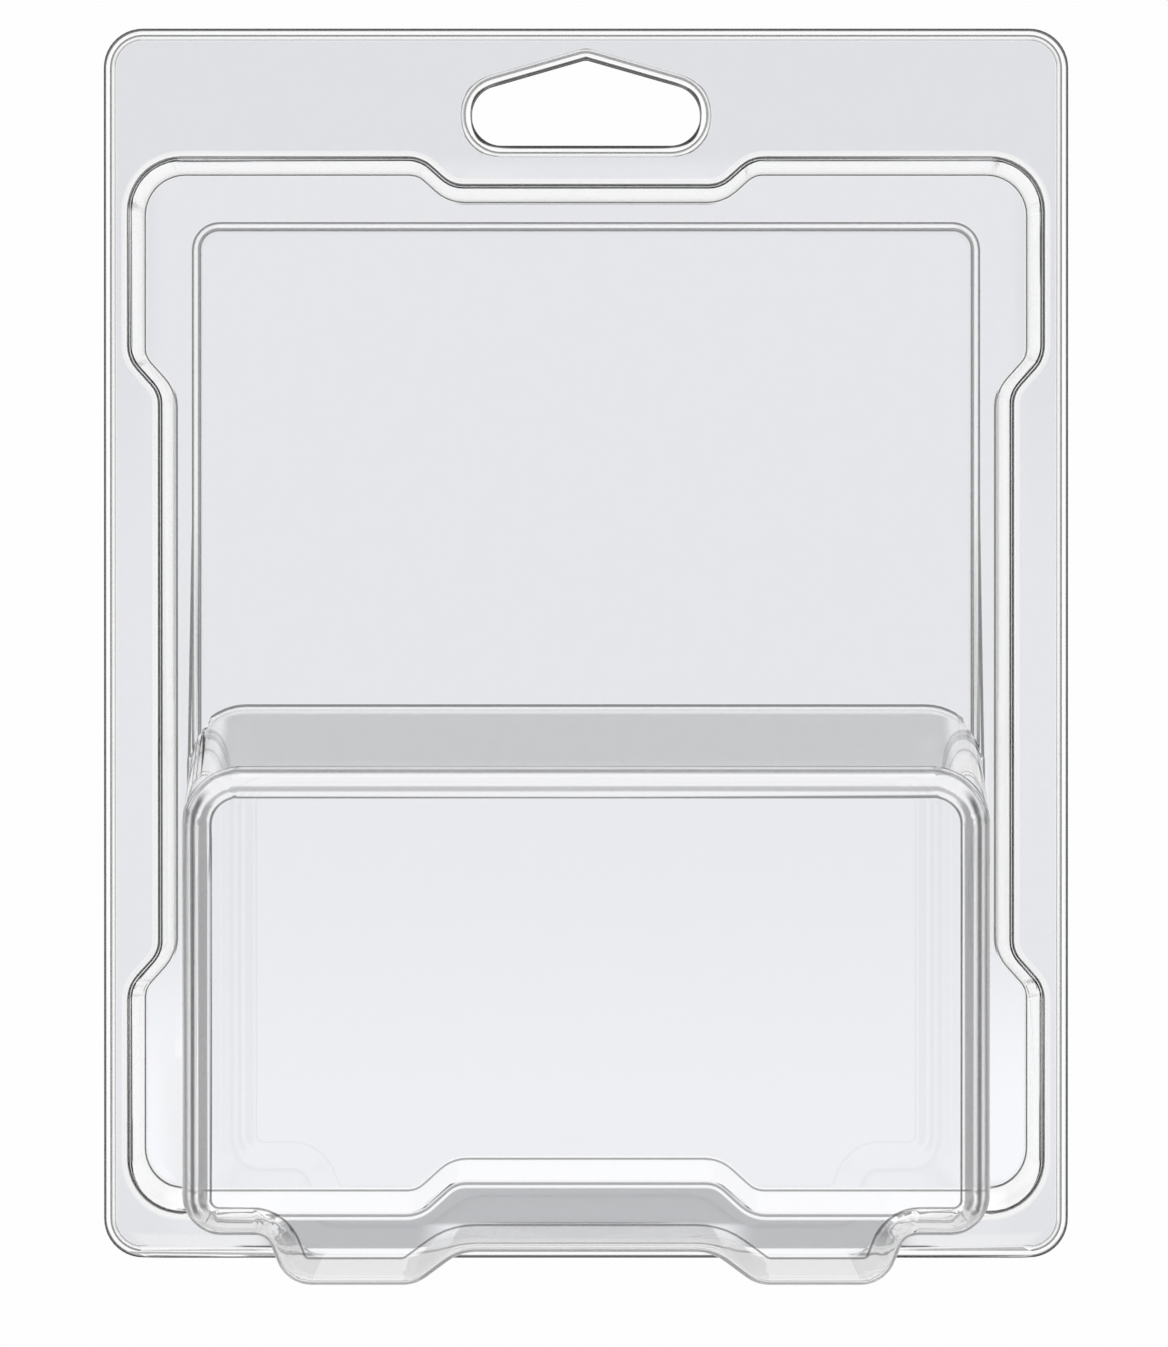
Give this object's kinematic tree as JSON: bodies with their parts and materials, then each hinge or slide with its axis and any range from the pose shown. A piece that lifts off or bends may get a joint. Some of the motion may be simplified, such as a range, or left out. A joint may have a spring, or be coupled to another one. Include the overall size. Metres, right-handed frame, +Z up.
{
  "type": "plastic blister case",
  "caption": "Clear clamshell blister case with a product bubble, two feet, a press-lock step, a hang slot and a hinged back.",
  "frame": {"origin": "bottom centre of the closed case's bounding box, on the surface that it stands on", "axes": "+X to the right as seen from the front, +Y backwards from the bubble to the back shell, +Z up to the hang slot"},
  "size_m": [0.15, 0.032, 0.1912],
  "materials": {
    "clear_sheet": "clear gloss"
  },
  "bodies": {
    "front": {"front_shell": "clear_sheet"},
    "back": {"back_shell": "clear_sheet"}
  },
  "joints": [
    {"name": "back_hinge", "type": "hinge", "parent": "front", "child": "back", "pos_m": [-0.07505, 0.0105, 0.0956], "axis": [0, 0, 1], "range_deg": [0, 180]}
  ]
}
